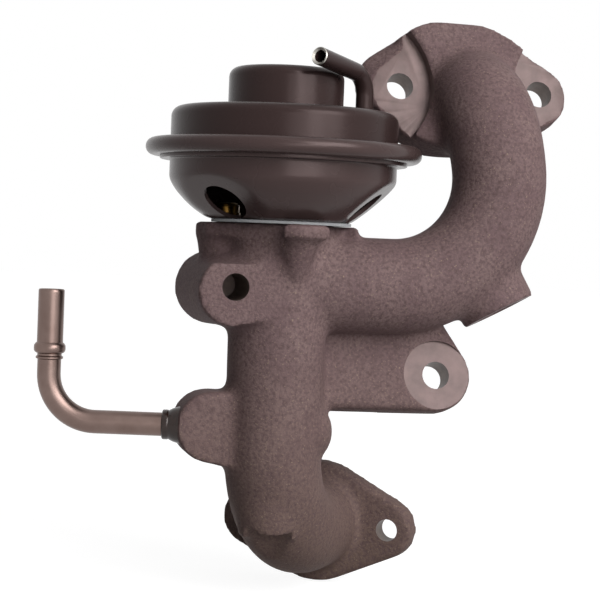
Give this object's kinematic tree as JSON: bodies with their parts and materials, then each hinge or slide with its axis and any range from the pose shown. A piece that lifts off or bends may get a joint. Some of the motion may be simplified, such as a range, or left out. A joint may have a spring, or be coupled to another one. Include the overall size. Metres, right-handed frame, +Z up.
{
  "type": "exhaust gas recirculation valve",
  "caption": "Vacuum-operated gas recirculation valve: iron casting with a U-bent gas pipe and two flanges, black diaphragm actuator on top and a bent steel pressure tube.",
  "frame": {"origin": "centre of the outlet port in the face that bolts to the intake manifold", "axes": "+Z up along the valve stem, parallel to the upright end of the pressure tube; the bolts of the outlet flange run back along +Y and 14 degrees down; +X from the valve column towards the U-bent pipe"},
  "size_m": [0.1673, 0.0985, 0.1814],
  "materials": {
    "sand_cast_iron": "sand cast, machined faces",
    "zinc_plated_steel": "pressed",
    "seat_steel": "machined",
    "stem_steel": "machined",
    "sintered_bronze": "sintered",
    "graphite_packing": "pressed",
    "gasket_sheet": "fibre sheet",
    "black_paint": "satin black paint",
    "yellow_passivated_steel": "yellow zinc",
    "diaphragm_rubber": "fabric backed rubber",
    "spring_steel": "drawn wire",
    "insulator_plastic": "moulded phenolic",
    "tube_steel": "drawn steel, bronzed by heat",
    "braze_collar": "dark braze"
  },
  "bodies": {
    "base": {"body_casting": "sand_cast_iron", "core_plug": "zinc_plated_steel", "valve_seat": "seat_steel", "guide_carrier": "seat_steel", "stem_guide": "sintered_bronze", "stem_packing": "graphite_packing", "packing_retainer": "zinc_plated_steel", "soot_deflector": "seat_steel", "housing_gasket": "gasket_sheet", "lower_housing": "black_paint", "housing_screws": "yellow_passivated_steel", "screw_washers": "yellow_passivated_steel", "diaphragm": "diaphragm_rubber", "return_spring": "spring_steel", "spring_insulator": "insulator_plastic", "upper_cover": "black_paint", "vacuum_nipple": "black_paint", "pressure_tube": "tube_steel", "tube_collar": "braze_collar"},
    "valve": {"pintle_head": "seat_steel", "pintle_nut": "stem_steel", "valve_stem": "stem_steel", "diaphragm_plate_lower": "zinc_plated_steel", "diaphragm_plate_upper": "zinc_plated_steel", "stem_washer": "stem_steel", "stem_nut": "stem_steel"}
  },
  "joints": [
    {"name": "valve_lift", "type": "slide", "parent": "base", "child": "valve", "axis": [0, 0, 1], "range_m": [0, 0.005], "stiffness_N_per_m": 4000, "springref_m": -0.004, "deforming": ["return_spring", "diaphragm"]}
  ]
}
